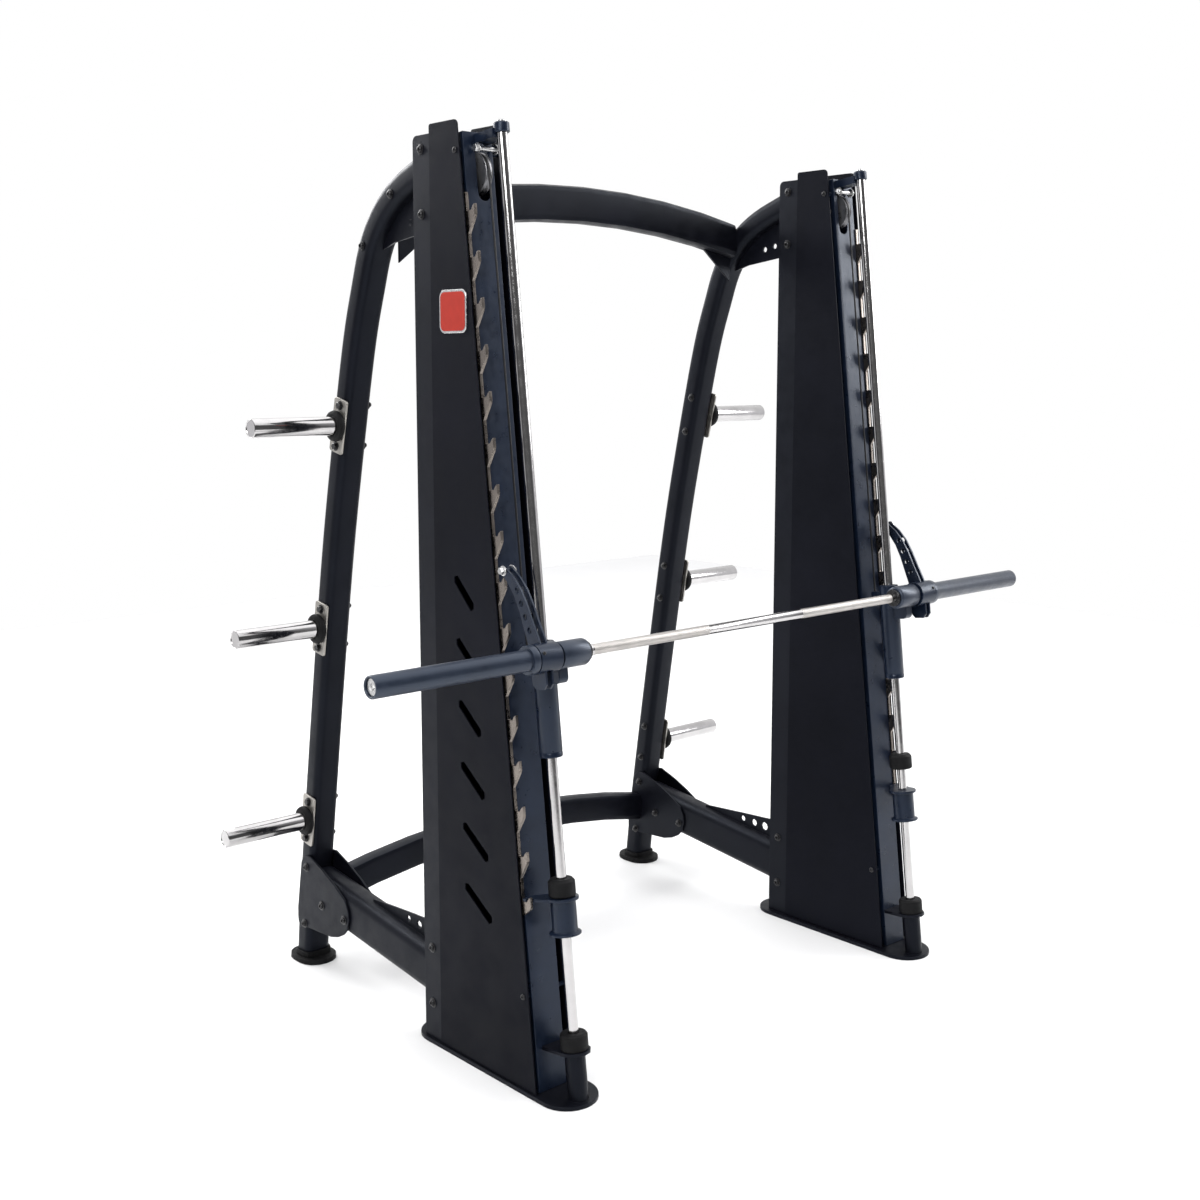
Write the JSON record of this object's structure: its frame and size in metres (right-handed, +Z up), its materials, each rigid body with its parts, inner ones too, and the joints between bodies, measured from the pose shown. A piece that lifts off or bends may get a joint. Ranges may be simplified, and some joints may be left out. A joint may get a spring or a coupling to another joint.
{
  "type": "smith machine",
  "caption": "Guided barbell on leaning rods in a bent-tube stand, with hooked rack plates, rotating latches, counterweights, safety stops and storage horns.",
  "frame": {"origin": "on the floor, at the centre of the footprint of the whole machine", "axes": "+X along the bar, +Y from the bar toward the rear cross beams, +Z up"},
  "size_m": [2.336, 1.269, 2.26],
  "materials": {
    "frame": "satin black powder coat",
    "satin_black": "smooth satin black",
    "panel": "matt black sheet",
    "chrome": "polished",
    "zinc": "zinc plated",
    "steel": "machined",
    "iron": "painted",
    "rubber": "matt",
    "nylon": "smooth",
    "cable_jacket": "smooth"
  },
  "bodies": {
    "stand": {"base_plate_left": "frame", "front_upright_left": "satin_black", "rear_channel_left": "frame", "outer_panel_left": "panel", "inner_panel_left": "panel", "rack_plate_left": "chrome", "guide_rod_left": "chrome", "top_bracket_left": "satin_black", "base_bumper_left": "rubber", "rear_post_left": "frame", "side_rail_left": "frame", "post_foot_left": "rubber", "corner_plate_outer_left": "frame", "corner_plate_inner_left": "frame", "upper_horn_left": "chrome", "middle_horn_left": "chrome", "lower_horn_left": "chrome", "pulley_axle_left": "zinc", "cable_left": "cable_jacket", "base_plate_right": "frame", "front_upright_right": "satin_black", "rear_channel_right": "frame", "outer_panel_right": "panel", "inner_panel_right": "panel", "rack_plate_right": "chrome", "guide_rod_right": "chrome", "top_bracket_right": "satin_black", "base_bumper_right": "rubber", "rear_post_right": "frame", "side_rail_right": "frame", "post_foot_right": "rubber", "corner_plate_outer_right": "frame", "corner_plate_inner_right": "frame", "upper_horn_right": "chrome", "middle_horn_right": "chrome", "lower_horn_right": "chrome", "pulley_axle_right": "zinc", "cable_right": "cable_jacket", "lower_cross_beam": "frame", "upper_cross_beam": "frame"},
    "carriages": {"carriage_left": "satin_black", "slide_bushing_left": "nylon", "hub_bearing_left": "steel", "carriage_right": "satin_black", "slide_bushing_right": "nylon", "hub_bearing_right": "steel"},
    "bar": {"barbell": "chrome", "bar_sleeve_left": "satin_black", "rack_latch_left": "satin_black", "bar_sleeve_right": "satin_black", "rack_latch_right": "satin_black"},
    "weight_left": {"counterweight_left": "iron"},
    "pulley_left": {"cable_pulley_left": "zinc"},
    "stop_left": {"safety_stop_left": "satin_black"},
    "bumper_left": {"stop_bumper_left": "rubber"},
    "weight_right": {"counterweight_right": "iron"},
    "pulley_right": {"cable_pulley_right": "zinc"},
    "stop_right": {"safety_stop_right": "satin_black"},
    "bumper_right": {"stop_bumper_right": "rubber"}
  },
  "joints": [
    {"name": "carriage_slide", "type": "slide", "parent": "stand", "child": "carriages", "axis": [0, 0.1155, 0.9933], "range_m": [-0.2128, 1.064], "deforming": ["cable_left", "cable_right"]},
    {"name": "bar_turn", "type": "hinge", "parent": "carriages", "child": "bar", "pos_m": [0, -0.54443, 1.05295], "axis": [1, 0, 0], "range_deg": [-7, 25]},
    {"name": "weight_left_slide", "type": "slide", "parent": "stand", "child": "weight_left", "axis": [0, 0, 1], "range_m": [-1.07, 0.22]},
    {"name": "pulley_left_spin", "type": "hinge", "parent": "stand", "child": "pulley_left", "pos_m": [-0.655, -0.24993, 2.14274], "axis": [1, 0, 0], "range_deg": [-1310, 270]},
    {"name": "stop_left_lift", "type": "slide", "parent": "stand", "child": "stop_left", "axis": [0, 0.1155, 0.9933], "range_m": [0, 0.02]},
    {"name": "bumper_left_slide", "type": "slide", "parent": "stop_left", "child": "bumper_left", "axis": [0, 0.1155, 0.9933], "range_m": [0, 0.04]},
    {"name": "weight_right_slide", "type": "slide", "parent": "stand", "child": "weight_right", "axis": [0, 0, 1], "range_m": [-1.07, 0.22]},
    {"name": "pulley_right_spin", "type": "hinge", "parent": "stand", "child": "pulley_right", "pos_m": [0.655, -0.24993, 2.14274], "axis": [1, 0, 0], "range_deg": [-1310, 270]},
    {"name": "stop_right_lift", "type": "slide", "parent": "stand", "child": "stop_right", "axis": [0, 0.1155, 0.9933], "range_m": [0, 0.02]},
    {"name": "bumper_right_slide", "type": "slide", "parent": "stand", "child": "bumper_right", "axis": [0, 0.1155, 0.9933], "range_m": [-0.0625, 0]}
  ],
  "couplings": [
    {"joint": "weight_left_slide", "follows": "carriage_slide", "ratio": -1},
    {"joint": "pulley_left_spin", "follows": "carriage_slide", "rad_per_m": -21.142},
    {"joint": "weight_right_slide", "follows": "carriage_slide", "ratio": -1},
    {"joint": "pulley_right_spin", "follows": "carriage_slide", "rad_per_m": -21.142}
  ]
}
